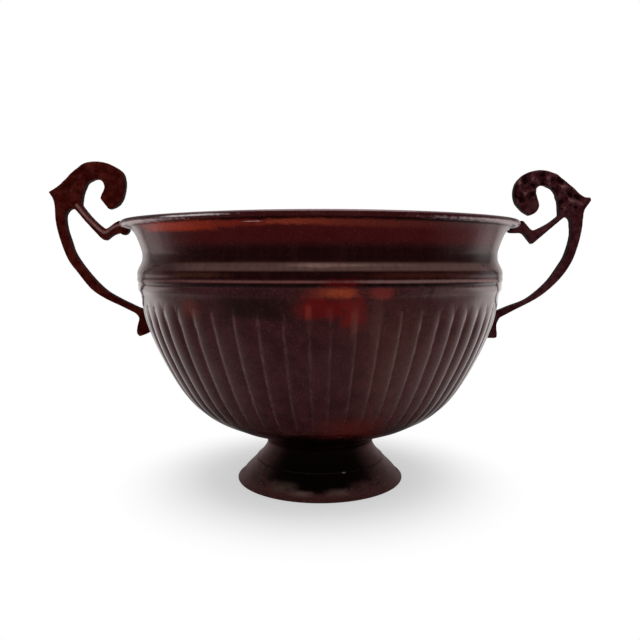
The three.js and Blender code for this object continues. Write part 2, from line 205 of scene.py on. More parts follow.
# The body's outline: shares of the way out from the seat and of the body's height
BODY_SHARES = [(0.02, 0), (0.04, 0.022), (0.136, 0.067), (0.351, 0.133), (0.535, 0.222),
               (0.691, 0.356), (0.846, 0.578), (0.955, 0.8), (1, 1)]
BODY_CURVE = spline([(SEAT_RADIUS + (BODY_RADIUS - SEAT_RADIUS) * r, BODY_HEIGHT * z)
                     for r, z in BODY_SHARES], 200)

# Band, groove, thin ring, shoulder, neck and flare above the body
UPPER_POINTS = [
    (104.75, 89.8), (105.1, 90.3), (105.4, 91.0), (105.6, 92.3), (105.65, 93.7), (105.55, 94.5),
    (105.5, 95.0), (105.65, 95.5), (105.95, 96.2), (106.0, 96.9), (105.95, 97.6), (105.9, 98.2),
    (105.95, 99.1), (105.95, 100.2), (105.7, 101.6), (104.9, 103.5), (103.9, 105.3), (103.2, 107.3),
    (103.0, 109.4), (103.3, 112.0), (104.8, 116.4), (107.0, 121.2), (110.3, 124.9),
]


def body_radius(height):
    """Radius of the bowl's outside at a height of the body"""
    return float(np.interp(height, BODY_CURVE[:, 1], BODY_CURVE[:, 0]))


def arc(centre, radius, start, end, steps):
    """Points on an arc, with its angles in degrees"""
    angles = np.radians(np.linspace(start, end, steps + 1))
    return np.stack([centre[0] + radius * np.cos(angles), centre[1] + radius * np.sin(angles)], 1)


def lift(azimuth, height):
    """How far the rim is drawn up beside the handles, at an azimuth in radians and a height"""
    share = smoothstep(np.asarray(height, float), LIFT_FROM, RIM_HEIGHT - 2 * BEAD_RADIUS)
    return RIM_LIFT * share * np.sin(azimuth) ** LIFT_POWER


def mesh_object(name, points, faces):
    """Smooth-shaded object from points in millimetres"""
    mesh = bpy.data.meshes.new(name)
    mesh.from_pydata((np.asarray(points) * MM).tolist(), [], faces)
    mesh.polygons.foreach_set("use_smooth", [True] * len(mesh.polygons))
    mesh.validate()
    thing = bpy.data.objects.new(name, mesh)
    bpy.context.scene.collection.objects.link(thing)
    return thing


def strips(rings, sides):
    """Faces between rings of points, the last ring joined to the first"""
    faces = []
    for i in range(rings):
        low = i * sides
        high = (i + 1) % rings * sides
        for j in range(sides):
            k = (j + 1) % sides
            faces.append((low + j, low + k, high + k, high + j))
    return faces


def points_of(thing):
    """The points of a mesh in millimetres, as rows"""
    co = np.zeros(len(thing.data.vertices) * 3)
    thing.data.vertices.foreach_get("co", co)
    return co.reshape(-1, 3) / MM


def store(thing, name, values):
    """A value at each point of the mesh, for its material"""
    layer = thing.data.attributes.new(name, "FLOAT", "POINT")
    layer.data.foreach_set("value", np.asarray(values, np.float32).ravel())


def groove_azimuth(count):
    """Degrees round from the front to each groove"""
    turn = 2 * np.pi * count / REED_COUNT
    wobble = sum(a * np.cos(n * turn) + b * np.sin(n * turn) for n, a, b in GROOVE_WOBBLE)
    return 360 / REED_COUNT * count + GROOVE_START + wobble


def columns():
    """Azimuth in radians, place across its reed and reed number of each column of points"""
    count = np.arange(REED_COUNT + 1)
    grooves = groove_azimuth(count)
    jitter = RANDOM.uniform(-GROOVE_JITTER, GROOVE_JITTER, REED_COUNT)
    grooves[:-1] += jitter
    grooves[-1] += jitter[0]
    azimuth = grooves[:-1, None] + np.diff(grooves)[:, None] * COLUMN_PHASES[None, :]
    phase = np.broadcast_to(COLUMN_PHASES, azimuth.shape)
    reed = np.broadcast_to(count[:-1, None], azimuth.shape)
    return np.radians(azimuth).ravel(), phase.ravel(), reed.ravel()


AZIMUTH, PHASE, REED = columns()
REED_TOPS = REED_TOP + RANDOM.uniform(-TOP_JITTER, TOP_JITTER, REED_COUNT)
REED_DEPTHS = REED_DEPTH * RANDOM.uniform(*DEPTH_RANGE, REED_COUNT)
DENT_WAVES = list(zip(
    RANDOM.integers(*DENT_TURNS, DENT_COUNT), RANDOM.uniform(*DENT_RISE, DENT_COUNT),
    RANDOM.uniform(*DENT_SIZE, DENT_COUNT), RANDOM.uniform(0, 2 * np.pi, DENT_COUNT)))


def relief(height, radius):
    """How far the sheet stands out over the plain wall at one height, for each column, and how
    near that place is to a reed's rubbed edge beside its groove, which also gets a painted highlight"""
    across = 2 * PHASE - 1
    top = REED_TOPS[REED] - ARCH_HEIGHT * (1 - np.sqrt(np.clip(1 - across ** 2, 0, 1)))
    inside = smoothstep(top - height, *ARCH_SOFTNESS)
    foot = smoothstep(height, *REED_FOOT)
    depth = REED_DEPTHS[REED] * (radius / BODY_RADIUS) * foot
    depth = depth * (REED_LEAST + (1 - REED_LEAST) * smoothstep(top - height, 0, REED_FADE))
    groove = GROOVE_ROUNDNESS * across ** 2 + (1 - GROOVE_ROUNDNESS) * across ** 4
    above = smoothstep(height - REED_TOP, *STEP_FADE)
    recess = -ARCH_STEP * (1 - above) * (1 - inside)
    # The edge is on each reed's side turned away from the front, for its painted highlight
    outer = np.where(np.sin(AZIMUTH) > 0, PHASE, 1 - PHASE)
    edge = np.exp(-((outer - 0.5 - EDGE_PHASE) / EDGE_WIDTH) ** 2)
    return -depth * groove * inside + recess, edge * inside * foot


def dents(height):
    """Slight unevenness of hand-worked sheet at one height, for each column"""
    wave = np.zeros_like(AZIMUTH)
    for n, rise, size, start in DENT_WAVES:
        wave += size * np.sin(n * AZIMUTH + rise * height + start)
    return wave


def bowl_profile():
    """The bowl's outside from the hole in its floor to the flare, as [radius, height] rows"""
    floor = spaced(np.array([(HOLE_RADIUS, 0), (SEAT_RADIUS - 1, 0)]), FLOOR_STEP)
    body = spaced(BODY_CURVE[BODY_CURVE[:, 1] < BODY_HEIGHT - 1], BODY_STEP)
    upper = spline([body[-1], *UPPER_POINTS], 400)
    mouldings = spaced(upper[upper[:, 1] < FLARE_FROM], MOULDING_STEP)
    flare = spaced(upper[upper[:, 1] >= FLARE_FROM], FLARE_STEP)
    return np.vstack([floor, body, mouldings[1:], flare])


def normals(profile):
    """Direction out of the wall at each point of the profile"""
    along = np.gradient(profile, axis=0)
    along /= np.linalg.norm(along, axis=1)[:, None]
    return np.stack([along[:, 1], -along[:, 0]], 1)


def gloss_at(height):
    """Gloss of the sheet at some heights, apart from the crease"""
    return np.where(height > UPPER_FROM, UPPER, LOWER)


def bowl_shell():
    """The whole sheet, outside, curl and inside, as one closed skin, and each face's gloss"""
    outside = bowl_profile()
    away = normals(outside)
    curl = np.vstack([arc(BEAD, BEAD_RADIUS - SHEET, CURL[0], CURL[1], CURL_STEPS[0]),
                      arc(BEAD, BEAD_RADIUS, CURL[1], CURL[2], CURL_STEPS[1])])
    keep = np.arange(len(outside) - 1, -1, -2)
    inside = (outside - away * SHEET)[keep]
    inside[:, 1] = np.maximum(inside[:, 1], SHEET)
    inside[-1] = (HOLE_RADIUS, SHEET)
    points, edges, levels = [], [], []

    def ring(r, z, out=(1, 0), height=None):
        """One ring of points, with the relief and dents of a height if that is given"""
        shift = np.zeros_like(AZIMUTH)
        edge = np.zeros_like(AZIMUTH)
        if height is not None:
            shift, edge = relief(height, r)
            shift = shift + dents(height) * smoothstep(height, *DENT_FROM)
        radius = r + shift * out[0]
        level = z + shift * out[1] + BOWL_BOTTOM
        levels.append(level)
        top = level + lift(AZIMUTH, z)
        points.append(np.stack([radius * np.sin(AZIMUTH), -radius * np.cos(AZIMUTH), top], 1))
        edges.append(edge)

    for (r, z), out in zip(outside, away):
        ring(r, z, out, z)
    for r, z in curl:
        ring(r, z)
    for k, (r, z) in zip(keep, inside):
        ring(r, z, away[k], outside[k, 1])
    shell = mesh_object("bowl_sheet", np.vstack(points), strips(len(points), len(AZIMUTH)))
    store(shell, "edge", np.concatenate(edges))
    store(shell, "level", np.concatenate(levels))
    creased = (outside[:, 1] > CREASE[0]) & (outside[:, 1] < CREASE[1])
    glosses = np.concatenate([np.where(creased, MATT, gloss_at(outside[:, 1])),
                              np.full(len(curl), UPPER), gloss_at(inside[:, 1])])
    return shell, np.repeat(glosses, len(AZIMUTH)).astype(np.int32)


def turned(name, profile):
    """Turned piece from a closed profile of [radius, height] points"""
    angle = np.arange(TURNED_SIDES) / TURNED_SIDES * 2 * np.pi
    points = [np.stack([r * np.sin(angle), -r * np.cos(angle), np.full(TURNED_SIDES, z)], 1)
              for r, z in profile]
    return mesh_object(name, np.vstack(points), strips(len(profile), TURNED_SIDES))


def foot_stem():
    """Hollow concave stem with a flat top"""
    outside = spaced(spline(STEM_POINTS, 60), TURNED_STEP)
    lip = [(SEAM[0] - 0.25, SEAM[1] + CLEARANCE - 0.02)]
    inside = outside[outside[:, 1] < FOOT_HEIGHT - 2 * FOOT_WALL] - [FOOT_WALL, 0]
    ceiling = FOOT_HEIGHT - FOOT_WALL
    return turned("foot_stem_spun", np.vstack([
        lip, outside, [(31.7, FOOT_HEIGHT), (HOLE_RADIUS, FOOT_HEIGHT), (HOLE_RADIUS, ceiling),
                       (28.5, ceiling), (29.6, ceiling - 0.5)], inside[::-1]]))


def foot_skirt():
    """Hollow convex skirt with a flat turned-in edge below and a collar inside the stem"""
    outside = spaced(spline(SKIRT_POINTS, 60), TURNED_STEP)
    ledge = [(SEAM[0] - 1.5, SEAM[1])]
    collar = np.array(COLLAR)
    collar_inside = collar[::-1] - [FOOT_WALL, 0]
    inside = outside[2:-1] - [1.3 * FOOT_WALL, 0]
    flange = [(BASE_RADIUS - FLANGE[0], FOOT_WALL), (BASE_RADIUS - FLANGE[1], FOOT_WALL),
              (BASE_RADIUS - FLANGE[1], 0)]
    edge = [(BASE_RADIUS - 0.6, 0), (BASE_RADIUS - 0.2, 0.2), (BASE_RADIUS, 0.5)]
    return turned("foot_skirt_spun", np.vstack([
        edge, outside, ledge, collar, collar_inside, inside[::-1], flange]))


def rim(x, z):
    """Place counted from the rim's outer top corner"""
    return RIM_RADIUS + x, RIM_HEIGHT + z


def wall(x, z):
    """Place counted from the screw's seat on the wall"""
    return body_radius(SCREW_HEIGHT) + x, SCREW_HEIGHT + z


def arm(out, up):
    """Place by its shares of the way out and up from the screw's seat to the arm's top"""
    (x0, z0), (x1, z1) = wall(0, 0), rim(ARM_REACH, 0)
    return x0 + (x1 - x0) * out, z0 + (z1 - z0) * up


# Outlines of the handles, drawn as runs between corners
OUTLINES = {
    "left": [
        [rim(46.3, 20.2)],
        [rim(41, 23.4), rim(35.3, 28.4), rim(33, 31), rim(25.5, 36.6), rim(20, 38), rim(14, 37.7),
         rim(8.6, 36), rim(2.6, 31.8), rim(0.9, 25), rim(2.2, 18), rim(4.4, 13.6), rim(7.4, 11.2),
         rim(10.8, 10)],
        [rim(15.8, 16.4)],
        [rim(14.7, 19.2), rim(13.4, 21.5), rim(13.3, 24.4), rim(14.8, 26.8), rim(17.9, 27.8),
         rim(21.2, 26.8), rim(24, 24.6), rim(26.2, 19.5), rim(27.5, 12.6)],
        [rim(21.5, 5), rim(14.6, -1), rim(11.5, -0.9), rim(8, 1.7), rim(5, 3.4)],
        [rim(1.5, 2.6), rim(-2, 0.5), rim(-0.6, -2.5), rim(0.8, -4.6), rim(3, -5.3)],
        [rim(4.8, -4), rim(9, -5.3), rim(12.4, -7.8)],
        [rim(14.2, -8.2), rim(17.6, -5.2), rim(25.4, 3.4), rim(30, 9), rim(32, 10.5)],
        [rim(34.7, 9.8), rim(37.1, 6), rim(36.6, -1), arm(0.844, 0.826), arm(0.791, 0.667),
         arm(0.64, 0.439), arm(0.46, 0.248), arm(0.198, 0.095), wall(4.5, 2.1)],
        [wall(-8, 1.5)],
        [wall(-8, -10.5), wall(-1, -10.2), wall(2.2, -12.6), wall(6.6, -14.3)],
        [wall(8.2, -12.4), wall(8, -8.5), wall(6.8, -3.2), wall(9, -0.2)],
        [arm(0.317, 0.079), arm(0.493, 0.172), arm(0.633, 0.279), arm(0.773, 0.468),
         arm(0.874, 0.623), arm(0.95, 0.845), rim(42.5, 2), rim(42.9, 10), rim(43.2, 14)],
        [rim(44, 16.6)],
    ],
    "right": [
        [rim(46.5, 15.4)],
        [rim(45.7, 17)],
        [rim(42.4, 17.3), rim(38.6, 19.8), rim(31.4, 26.2), rim(23.4, 31.5), rim(15.5, 33),
         rim(7.2, 31), rim(1.8, 25.4), rim(0.4, 19.4), rim(1.6, 14.4), rim(5.6, 9.2),
         rim(10.2, 6.3)],
        [rim(13.2, 7.8), rim(15, 10.2), rim(15.5, 12.8), rim(14.4, 16.6), rim(13.4, 20.6),
         rim(14.6, 23.2), rim(18.4, 24.2), rim(23.6, 21.6), rim(26.6, 16), rim(27.8, 6.4)],
        [rim(22, 2), rim(14.4, -1.9), rim(11.2, -2), rim(8.8, 0.4), rim(6, 3.5)],
        [rim(1.5, 2.4), rim(-2, 0.5), rim(-2.2, -2.4), rim(-1.2, -3.8), rim(2.4, -4)],
        [rim(6.4, -4.2), rim(9.2, -7.2), rim(12, -10.6)],
        [rim(16.4, -6.8), rim(26.4, 1.8), rim(30, 4.8), rim(32, 5.8)],
        [rim(34.2, 4.4), rim(35, 1), arm(0.857, 0.868), arm(0.806, 0.671), arm(0.743, 0.549),
         arm(0.616, 0.356), arm(0.412, 0.168), arm(0.207, 0.077), wall(3, 0.4)],
        [wall(-8, -1)],
        [wall(-8, -15), wall(-2, -15.3), wall(3.4, -15.4)],
        [wall(4.5, -14.4), wall(4.4, -11), wall(4.2, -7), wall(6, -3)],
        [arm(0.268, 0.033), arm(0.534, 0.188), arm(0.737, 0.381), arm(0.863, 0.574),
         arm(0.93, 0.768), rim(41.3, -2), rim(42, 6.6), rim(42.7, 10)],
    ],
}

# Middle line of each scroll, from its curled end to the root of its spur
SCROLLS = {
    "left": [rim(9.5, 13.5), rim(6.8, 20), rim(7, 27), rim(11.5, 32), rim(18.5, 33.2),
             rim(26.5, 30), rim(32, 22), rim(35.5, 14)],
    "right": [rim(10, 10.5), rim(6.6, 16.5), rim(7.2, 23), rim(13, 28.2), rim(21, 27.6),
              rim(29, 22.4), rim(33.5, 14.5), rim(36.5, 7)],
}

# Ridge along each strut, from the fork to the jaw
STRUTS = {
    "left": [rim(29.5, 12.3), rim(23.5, 5), rim(16, -2.4), rim(13, -3.8), rim(9.5, -1.6),
             rim(4.5, 0.6), rim(1.5, 0)],
    "right": [rim(30, 7.3), rim(22.5, 0.4), rim(15.5, -4.4), rim(12, -6.2), rim(9, -3.4),
              rim(5.5, -0.4), rim(1.5, -0.2)],
}


def outline(side):
    """Closed outline of a handle in the X-Z plane"""
    line = [OUTLINES[side][0][0]]
    for run in OUTLINES[side][1:]:
        if len(run) == 1:
            line.append(run[0])
        else:
            line.extend(spline([line[-1], *run], RUN_STEPS * len(run))[1:].tolist())
    return np.array(line)


def evaluated_copy(thing, name):
    """New object from another with its modifiers applied, which takes its place"""
    graph = bpy.context.evaluated_depsgraph_get()
    mesh = bpy.data.meshes.new_from_object(thing.evaluated_get(graph))
    result = bpy.data.objects.new(name, mesh)
    bpy.context.scene.collection.objects.link(result)
    bpy.data.objects.remove(thing)
    return result


def slab(name, line, thickness):
    """Flat closed solid from an outline in the X-Z plane"""
    n = len(line)
    points = [(x, y, z) for y in (-thickness / 2, thickness / 2) for x, z in line]
    faces = [tuple(range(n)), tuple(range(2 * n - 1, n - 1, -1))]
    faces += [(i, i + n, (i + 1) % n + n, (i + 1) % n) for i in range(n)]
    return mesh_object(name, points, faces)


def wall_room():
    """Outline of what the bowl's wall and bead take up at a handle, with their clearance"""
    outside = bowl_profile()
    below_bead = outside[outside[:, 1] < BEAD[1] - ROOM_UNDER_BEAD]
    line = below_bead + normals(below_bead) * CLEARANCE
    line[:, 1] += lift(math.pi / 2, line[:, 1])
    bead = arc(BEAD, BEAD_RADIUS + CLEARANCE, *ROOM_ARC, 24) + [0, RIM_LIFT]
    back = [(RIM_RADIUS - ROOM_DEPTH, RIM_HEIGHT), (RIM_RADIUS - ROOM_DEPTH, 0)]
    return np.vstack([line[line[:, 1] > ROOM_FROM], bead, back])


def turn_faces_out(piece):
    """Makes all faces of a closed piece point out"""
    work = bmesh.new()
    work.from_mesh(piece.data)
    bmesh.ops.recalc_face_normals(work, faces=work.faces)
    work.to_mesh(piece.data)
    work.free()


def beside_line(curve, co):
    """Each point's place along a curve in the X-Z plane, its signed distance from the curve, and
    the curve's length"""
    line = spaced(curve, LINE_STEP)
    flat = co[:, [0, 2]]
    along = np.zeros(len(co))
    across = np.full(len(co), np.inf)
    done = 0.0
    for start, end in zip(line, line[1:]):
        step = end - start
        size = np.linalg.norm(step)
        t = np.clip(((flat - start) @ step) / size ** 2, 0, 1)
        away = flat - start - t[:, None] * step
        distance = np.linalg.norm(away, axis=1)
        nearer = distance < np.abs(across)
        along[nearer] = (done + t * size)[nearer]
        across[nearer] = (distance * np.sign(step[0] * away[:, 1] - step[1] * away[:, 0]))[nearer]
        done += size
    return along, across, done


def waves(rows, co):
    """Product of sine waves in the X-Z plane: radians per millimetre of X and of Z, and start"""
    product = np.ones(len(co))
    for across, up, start in rows:
        product *= np.sin(across * co[:, 0] + up * co[:, 2] + start)
    return product


def carving(side, co):
    """Raised leaves with small pits along a handle's scroll and a ridge along its strut, as extra
    thickness on its two faces"""
    along, across, total = beside_line(spline(SCROLLS[side], 80), co)
    gap = np.abs(across)
    inside = smoothstep(along, *LEAF_START) * smoothstep(total - along, *LEAF_END)
    inside = inside * (1 - smoothstep(gap, *LEAF_SIDE))
    leaf = 0.5 + 0.5 * np.cos(2 * np.pi * (along - LEAF_SLANT * gap) / LEAF_LENGTH)
    rib = np.exp(-(across / RIB_WIDTH) ** 2)
    lump = waves(LUMP_WAVES, co)
    pit = np.clip(waves(PIT_WAVES, co) - PIT_LEVEL, 0, 1)
    leaves = leaf ** 2 - RIB_RISE + RIB_RISE * rib + LUMP_RISE * lump - PIT_DEPTH * pit
    _, across, _ = beside_line(spline(STRUTS[side], 40), co)
    ridge = RIDGE_RISE[side] * np.exp(-(across / RIDGE_WIDTH) ** 2)
    face = smoothstep(np.abs(co[:, 1]), *FACE)
    return face * (inside * LEAF_RISE[side] * leaves + ridge * (1 - inside))


def handle(side):
    """One cast handle: an even skin over its slab, rounded and with its relief"""
    facing = -1 if side == "left" else 1
    casting = slab("casting", outline(side), HANDLE_THICKNESS)
    room = slab("room", wall_room(), 3 * HANDLE_THICKNESS)
    for piece in (casting, room):
        turn_faces_out(piece)
    cut = casting.modifiers.new("cut", "BOOLEAN")
    cut.object = room
    cut.solver = "EXACT"
    casting = evaluated_copy(casting, "casting_cut")
    bpy.data.objects.remove(room)
    remesh = casting.modifiers.new("remesh", "REMESH")
    remesh.mode = "VOXEL"
    remesh.voxel_size = SKIN_STEP * MM
    smooth = casting.modifiers.new("smooth", "SMOOTH")
    smooth.factor = SKIN_FACTOR
    smooth.iterations = SKIN_REPEATS
    casting = evaluated_copy(casting, f"handle_{side}_cast")
    co = points_of(casting)
    raised = carving(side, co)
    flank = 1 - smoothstep(np.abs(co[:, 1]), *FLANK)
    co[:, 1] += np.sign(co[:, 1]) * raised
    co[:, 0] *= facing
    co[:, 2] += BOWL_BOTTOM
    casting.data.vertices.foreach_set("co", (co * MM).ravel())
    if facing < 0:
        casting.data.flip_normals()
    casting.data.polygons.foreach_set("use_smooth", [True] * len(casting.data.polygons))
    casting.data.update()
    store(casting, "raised", raised)
    store(casting, "flank", flank)
    return casting


def iron_wire():
    """Wire inside the rolled rim, lifted with it beside the handles"""
    section = arc(BEAD, WIRE_RADIUS, 0, 360 - 360 / WIRE_SIDES, WIRE_SIDES - 1)
    wire = turned("rim_wire_iron", section)
    co = points_of(wire)
    azimuth = np.arctan2(co[:, 0], -co[:, 1])
    co[:, 2] += lift(azimuth, co[:, 2]) + BOWL_BOTTOM
    wire.data.vertices.foreach_set("co", (co * MM).ravel())
    return wire


bowl_sheet, bowl_glosses = bowl_shell()
stem = foot_stem()
skirt = foot_skirt()
handles = {side: handle(side) for side in ("left", "right")}


class Nodes:
    """Short way to build a material's or the world's nodes"""

    def __init__(self, tree):
        self.tree = tree

    def add(self, kind, **settings):
        """New node"""
        made = self.tree.nodes.new(kind)
        for key, value in settings.items():
            setattr(made, key, value)
        return made

    def put(self, socket, value):
        """A link or a plain value into a socket"""
        if isinstance(value, bpy.types.NodeSocket):
            self.tree.links.new(value, socket)
        else:
            socket.default_value = value

    def fill(self, made, **values):
        """Links or plain values for a node's inputs, with _ in their names for a space"""
        for name, value in values.items():
            self.put(made.inputs[name.replace("_", " ")], value)

    def math(self, operation, *values):
        """Result of a sum with numbers or other results"""
        made = self.add("ShaderNodeMath", operation=operation)
        for socket, value in zip(made.inputs, values):
            self.put(socket, value)
        return made.outputs[0]

    def ramp(self, value, low, high, start=0.0, end=1.0):
        """A value's smooth way from low to high, as a number from start to end"""
        made = self.add("ShaderNodeMapRange", interpolation_type="SMOOTHSTEP")
        self.fill(made, Value=value, From_Min=low, From_Max=high, To_Min=start, To_Max=end)
        return made.outputs[0]

    def mix(self, share, a, b):
        """A share of b over a, for colours or numbers"""
        made = self.add("ShaderNodeMix", data_type="RGBA")
        self.put(made.inputs[0], share)
        self.put(made.inputs[6], a)
        self.put(made.inputs[7], b)
        return made.outputs[2]

    def stored(self, name):
        """A value stored at the mesh's points"""
        return self.add("ShaderNodeAttribute", attribute_name=name).outputs["Fac"]

    def noise(self, place, scale, detail, roughness, distortion=0.0):
        """Noise over the surface, with its scale per millimetre"""
        made = self.add("ShaderNodeTexNoise")
        self.fill(made, Vector=place, Scale=scale, Detail=detail, Roughness=roughness,
                  Distortion=distortion)
        return made.outputs["Fac"]

    def stretched(self, place, x, y, z):
        """A place with each of its coordinates multiplied"""
        made = self.add("ShaderNodeVectorMath", operation="MULTIPLY")
        self.put(made.inputs[0], place)
        self.put(made.inputs[1], (x, y, z))
        return made.outputs[0]

    def bump(self, height, distance, strength, normal=None):
        """Normal of a rough surface, with its height in metres, over another normal if given"""
        made = self.add("ShaderNodeBump")
        self.fill(made, Height=height, Distance=distance, Strength=strength)
        if normal is not None:
            self.put(made.inputs["Normal"], normal)
        return made.outputs[0]


def tone(red, green, blue):
    """Colour as it shows on screen, 0 to 255, for a colour socket"""
    return tuple(c / 12.92 if c <= 0.04045 else ((c + 0.055) / 1.055) ** 2.4
                 for c in (red / 255, green / 255, blue / 255)) + (1.0,)


def material(name):
    """New material, its nodes, its shader and its place in millimetres"""
    made = bpy.data.materials.new(name)
    made.use_nodes = True
    nodes = Nodes(made.node_tree)
    shader = made.node_tree.nodes["Principled BSDF"]
    metres = nodes.add("ShaderNodeTexCoord").outputs["Object"]
    return made, nodes, shader, nodes.stretched(metres, 1 / MM, 1 / MM, 1 / MM)


def around(nodes, place):
    """Degrees round from the front and height over the origin in millimetres"""
    parts = nodes.add("ShaderNodeSeparateXYZ")
    nodes.put(parts.inputs[0], place)
    x, y, z = parts.outputs
    angle = nodes.math("ARCTAN2", x, nodes.math("MULTIPLY", y, -1))
    return nodes.math("MULTIPLY", angle, math.degrees(1)), z


# Patches: how square their outlines are, how torn, and where the speckle shows through them
PATCH_POWER = 3
TEAR = 2.6
SHOW_THROUGH = (0.36, 0.56)
SHOW_LEAST = 0.45


def patch(nodes, azimuth, height, centre, size, soft, ragged):
    """Ragged spot on the wall, from its middle and half sizes in degrees and mm"""
    sides = []
    for value, middle, half in zip((azimuth, height), centre, size):
        share = nodes.math("DIVIDE", nodes.math("SUBTRACT", value, middle), half)
        sides.append(nodes.math("POWER", nodes.math("ABSOLUTE", share), PATCH_POWER))
    away = nodes.math("POWER", nodes.math("ADD", *sides), 1 / PATCH_POWER)
    tear = nodes.math("MULTIPLY", nodes.math("SUBTRACT", ragged, 0.5), TEAR)
    return nodes.ramp(nodes.math("ADD", away, tear), 1 - soft, 1 + soft, 1.0, 0.0)


def patched(nodes, base, patches, azimuth, height, ragged, speckle):
    """The base colour with a table of patches laid over it"""
    for centre, size, soft, strength, colour in patches:
        spot = patch(nodes, azimuth, height, centre, size, soft, ragged)
        shown = nodes.ramp(speckle, *SHOW_THROUGH, SHOW_LEAST * strength, strength)
        base = nodes.mix(nodes.math("MULTIPLY", spot, shown), base, tone(*colour))
    return base


# Bare, reddish and dark places on the bowl, and painted light: a painted sheen lighter on both sides
# of the body, a painted highlight on the ring's right side with a paler painted sheen below it, and
# on the bead light and dark painted reflection bands with painted glints there and on the flare.
# Middle and half sizes in degrees round from the front and millimetres over the origin, softness of
# the edge, strength and colour
TONE_PATCHES_AND_PAINTED_LIGHT = [
    ((-17, 109), (10, 5), 0.5, 0.88, (20, 3, 3)),
    ((0.2, 109.2), (5.8, 4.7), 0.35, 1.0, (108, 0, 2)),
    ((8.4, 107), (3.1, 6.8), 0.45, 0.9, (118, 14, 12)),
    ((8.7, 102), (0.9, 6), 0.8, 0.5, (124, 76, 64)),
    ((-2.9, 107.2), (0.7, 3), 0.8, 0.8, (142, 50, 42)),
    ((2.4, 106.6), (0.8, 2.6), 0.9, 0.7, (124, 32, 34)),
    ((2.6, 115.8), (6.2, 2.3), 0.5, 0.85, (124, 40, 26)),
    ((5.0, 116.2), (3.7, 2.1), 0.5, 0.85, (168, 70, 38)),
    ((5.4, 119.8), (4.2, 2.2), 0.4, 0.75, (98, 8, 12)),
    ((15.2, 115.6), (3.1, 2.5), 0.5, 1.0, (126, 42, 38)),
    ((14.5, 103), (1.4, 9), 0.9, 0.4, (104, 70, 58)),
    ((19, 80), (7, 26), 0.6, 0.3, (96, 58, 46)),
    # Painted sheen: the body lighter on both sides
    ((34, 78), (13, 28), 0.7, 0.3, (112, 80, 74)),
    ((-31, 78), (10, 28), 0.7, 0.16, (104, 80, 76)),
    ((-37, 107.5), (3.2, 4.2), 0.5, 0.7, (104, 42, 32)),
    ((-40, 146.4), (14, 2.0), 0.5, 1.0, (168, 48, 8)),
    ((-24, 146.9), (10, 1.3), 0.6, 0.85, (134, 34, 20)),
    ((-5, 147.2), (8, 1.1), 0.6, 0.95, (156, 62, 38)),
    ((6, 146.8), (10, 1.4), 0.7, 0.85, (122, 46, 34)),
    ((19, 146.4), (9, 1.4), 0.8, 0.7, (102, 36, 28)),
    # Painted reflection bands on the bead, dark above and light below, and painted glints
    ((-58, 150.9), (22, 0.8), 0.5, 0.9, (52, 28, 32)),
    ((58, 151.0), (24, 0.7), 0.5, 0.8, (66, 44, 48)),
    ((-60, 149.4), (20, 0.5), 0.5, 0.9, (216, 196, 198)),
    ((57, 149.5), (24, 0.6), 0.5, 0.9, (196, 178, 182)),
    ((-31, 150.4), (8, 0.35), 0.7, 1.0, (250, 240, 240)),
    ((-15.5, 147.4), (2.2, 0.16), 0.6, 0.9, (214, 176, 168)),
    ((30, 123.6), (17, 1.2), 0.6, 0.6, (78, 36, 26)),
    ((-33, 123.8), (8, 1.0), 0.6, 0.6, (86, 48, 34)),
    # Painted highlight on the ring and a painted sheen below it, on the right
    ((31, 120.9), (20, 0.7), 0.5, 0.6, (132, 110, 108)),
    ((45, 115.9), (18, 2.1), 0.6, 0.4, (118, 98, 98)),
    ((14, 46), (12, 6), 0.8, 0.85, (100, 26, 20)),
    ((1, 100), (3, 6), 0.6, 0.4, (66, 18, 20)),
    ((150, 112), (14, 4), 0.5, 0.6, (96, 32, 25)),
    ((205, 110), (10, 4), 0.5, 0.5, (84, 22, 18)),
    ((215, 60), (12, 8), 0.6, 0.45, (88, 30, 26)),
    ((170, 146), (30, 1.7), 0.7, 0.6, (110, 38, 28)),
]

# Bands round the bowl: painted highlights on the ring, on the shoulder above it and on the bead's
# top;
# painted shade in the groove under the ring, between the ring and the shoulder, in the crease under
# the bead and on the bowl's lowest part; a darker neck and the flare's reddish tone. From, to and
# softness in millimetres over the origin, strength and colour
BANDS_OF_TONE_AND_PAINTED_LIGHT = [
    (137, 149, 4.0, 0.7, (84, 13, 14)),
    (129.7, 137.5, 2.6, 0.85, (26, 3, 4)),
    (125.8, 129.4, 0.8, 0.75, (122, 94, 86)),
    (121.9, 125.4, 0.5, 0.85, (24, 3, 3)),
    (120.4, 121.4, 0.35, 0.75, (134, 90, 86)),
    (118.3, 119.9, 0.3, 0.9, (10, 2, 2)),
    (147.9, 149.1, 0.35, 0.9, (10, 2, 2)),
    (151.3, 153.5, 0.25, 0.8, (150, 130, 136)),
    (18.0, 41.0, 4.0, 0.95, (9, 2, 2)),
]

# Side of the bowl, in degrees, where the painted light of the bands shows less, how far round that
# goes and how much still shows
PLAIN_SIDE = -62
PLAIN_WIDTH = (14, 30)
PLAIN_LEAST = 0.2

# Heights between which the copper grows duller, and by how much
DULL_RISE = (122, 136)
DULL_MORE = 0.09

# Strength of the rubbed reed edges, also a painted highlight, and degrees from the front between
# which it grows toward the sides
RUB_AND_HIGHLIGHT = 0.75
HIGHLIGHT_SIDES = (6, 30)


